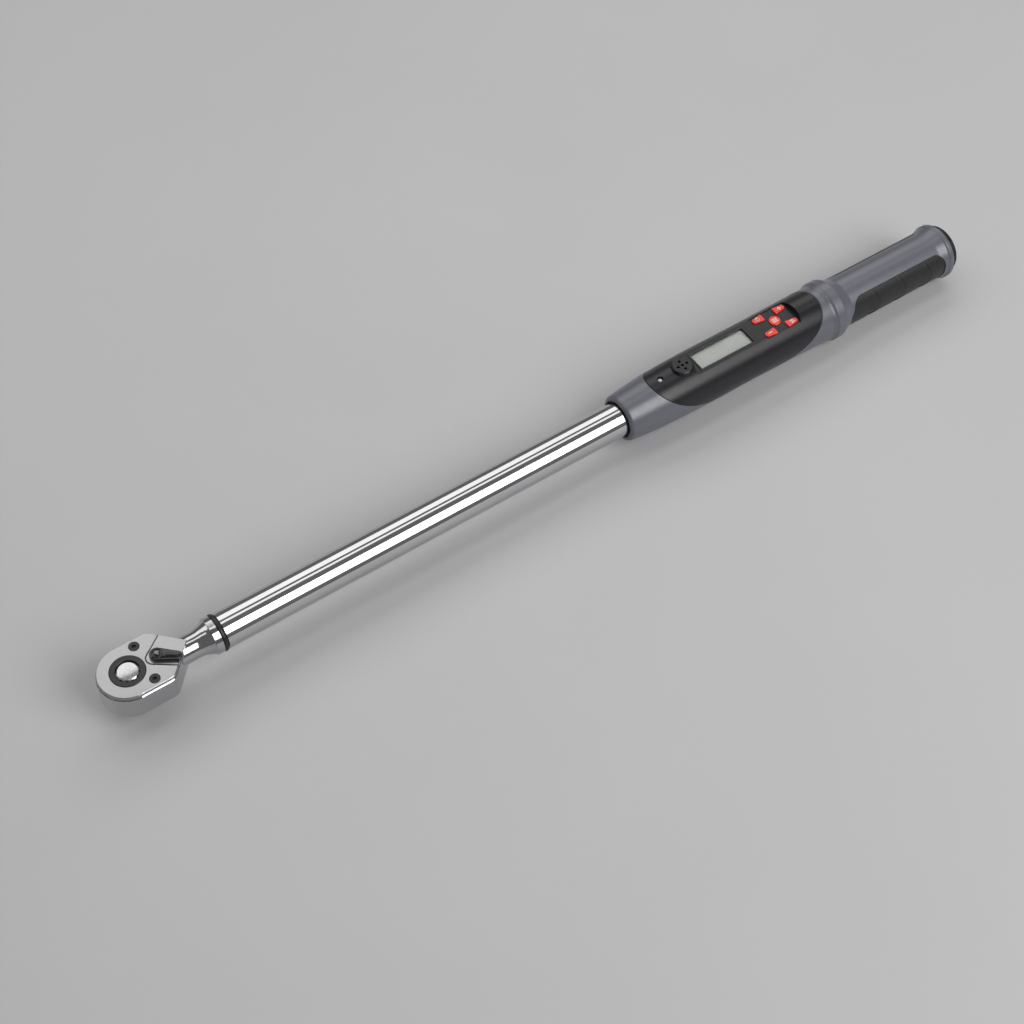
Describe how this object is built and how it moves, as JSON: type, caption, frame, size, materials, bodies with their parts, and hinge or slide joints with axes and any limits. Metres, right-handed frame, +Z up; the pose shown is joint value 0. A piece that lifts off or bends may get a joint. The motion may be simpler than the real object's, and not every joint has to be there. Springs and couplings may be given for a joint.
{
  "type": "torque wrench",
  "caption": "Electronic torque wrench: reversible ratchet head with square drive, plated tube, display and keys in a housing, flanged grip with a screw cap.",
  "frame": {"origin": "on the drive axis, at the lower face of the ratchet head, where the square drive leaves it", "axes": "+X along the tube towards the grip, +Z up on the display side, drive axis along Z"},
  "size_m": [0.6608, 0.0432, 0.0494],
  "materials": {
    "chrome_steel": "polished chrome plate",
    "satin_steel": "satin",
    "black_steel": "black oxide",
    "hard_steel": "ground",
    "spring_steel": "drawn wire",
    "black_rubber": "matt",
    "grey_plastic": "satin",
    "black_plastic": "satin",
    "white_plastic": "satin",
    "cable_jacket": "satin",
    "board": "solder mask",
    "chip": "matt",
    "gauge_film": "foil on film",
    "display": "grey-green",
    "window_glass": "clear",
    "lamp": "clear dome",
    "brass": "bright",
    "cell_jacket": "gloss",
    "red_key": "satin silicone"
  },
  "bodies": {
    "wrench": {"battery_cells": "cell_jacket", "battery_leads": "cable_jacket", "battery_sleeve": "black_plastic", "beam_pin": "hard_steel", "board_chips": "chip", "board_screws": "hard_steel", "cable_connector": "white_plastic", "control_cover": "black_plastic", "cover_screws": "black_steel", "display_frame": "black_plastic", "display_holder": "black_plastic", "display_module": "display", "display_window": "window_glass", "dome_switches": "brass", "front_contact": "brass", "gauge_cable": "cable_jacket", "gauge_terminal": "board", "grip_body": "grey_plastic", "grip_pad_left": "black_rubber", "grip_pad_right": "black_rubber", "head_body": "chrome_steel", "head_cover_plate": "satin_steel", "housing_body": "grey_plastic", "housing_screws": "hard_steel", "key_mat": "black_rubber", "main_board": "board", "neck_seal_ring": "black_rubber", "sensor_beam": "hard_steel", "sounder": "black_plastic", "status_led": "lamp", "strain_gauges": "gauge_film", "thrust_washer": "hard_steel", "tube": "chrome_steel", "tube_screws": "hard_steel"},
    "spindle": {"drive_spindle": "satin_steel", "hub_ring": "black_steel", "release_spring": "spring_steel"},
    "release": {"release_button": "chrome_steel"},
    "ball": {"detent_ball": "hard_steel"},
    "lever": {"reverse_lever": "black_steel", "lever_rivet": "black_steel", "plunger_spring": "spring_steel"},
    "plunger": {"pawl_plunger": "hard_steel"},
    "rocking_pawl": {"pawl": "hard_steel"},
    "cap_contact_stack": {"cap_contact": "brass", "contact_spring": "spring_steel"},
    "cap": {"end_cap": "black_plastic", "cap_seal_ring": "black_rubber"},
    "key_centre_body": {"key_centre": "red_key"},
    "key_plus_body": {"key_plus": "red_key"},
    "key_minus_body": {"key_minus": "red_key"},
    "key_power_body": {"key_power": "red_key"},
    "key_units_body": {"key_units": "red_key"}
  },
  "joints": [
    {"name": "spindle_turn", "type": "hinge", "parent": "wrench", "child": "spindle", "pos_m": [0, 0, 0], "axis": [0, 0, 1], "continuous": true},
    {"name": "release_push", "type": "slide", "parent": "spindle", "child": "release", "axis": [0, 0, -1], "range_m": [0, 0.003], "stiffness_N_per_m": 800, "springref_m": -0.004, "deforming": ["release_spring"]},
    {"name": "ball_sink", "type": "slide", "parent": "spindle", "child": "ball", "axis": [0, 1, 0], "range_m": [0, 0.0011]},
    {"name": "lever_turn", "type": "hinge", "parent": "wrench", "child": "lever", "pos_m": [0.0193, 0, 0.011], "axis": [0, 0, 1], "range_deg": [0, 76]},
    {"name": "plunger_slide", "type": "slide", "parent": "lever", "child": "plunger", "axis": [-0.788, 0.6157, 0], "range_m": [0, 0.0008], "stiffness_N_per_m": 400, "springref_m": -0.001, "deforming": ["plunger_spring"]},
    {"name": "pawl_rock", "type": "hinge", "parent": "wrench", "child": "rocking_pawl", "pos_m": [0.0193, 0, 0.011], "axis": [0, 0, 1], "range_deg": [-8, 0]},
    {"name": "cap_travel", "type": "slide", "parent": "wrench", "child": "cap_contact_stack", "axis": [1, 0, 0], "range_m": [0, 0.006]},
    {"name": "cap_turn", "type": "hinge", "parent": "cap_contact_stack", "child": "cap", "pos_m": [0.6369, 0, 0.012], "axis": [1, 0, 0], "range_deg": [0, 1440]},
    {"name": "key_centre_press", "type": "slide", "parent": "wrench", "child": "key_centre_body", "axis": [0, 0, -1], "range_m": [0, 0.0006], "stiffness_N_per_m": 600, "springref_m": -0.001},
    {"name": "key_plus_press", "type": "slide", "parent": "wrench", "child": "key_plus_body", "axis": [0, 0, -1], "range_m": [0, 0.0006], "stiffness_N_per_m": 600, "springref_m": -0.001},
    {"name": "key_minus_press", "type": "slide", "parent": "wrench", "child": "key_minus_body", "axis": [0, 0, -1], "range_m": [0, 0.0006], "stiffness_N_per_m": 600, "springref_m": -0.001},
    {"name": "key_power_press", "type": "slide", "parent": "wrench", "child": "key_power_body", "axis": [0, 0, -1], "range_m": [0, 0.0006], "stiffness_N_per_m": 600, "springref_m": -0.001},
    {"name": "key_units_press", "type": "slide", "parent": "wrench", "child": "key_units_body", "axis": [0, 0, -1], "range_m": [0, 0.0006], "stiffness_N_per_m": 600, "springref_m": -0.001}
  ],
  "couplings": [
    {"joint": "ball_sink", "follows": "release_push", "ratio": 0.366},
    {"joint": "pawl_rock", "follows": "lever_turn", "ratio": -0.105},
    {"joint": "cap_travel", "follows": "cap_turn", "m_per_rad": 0.0002387}
  ]
}
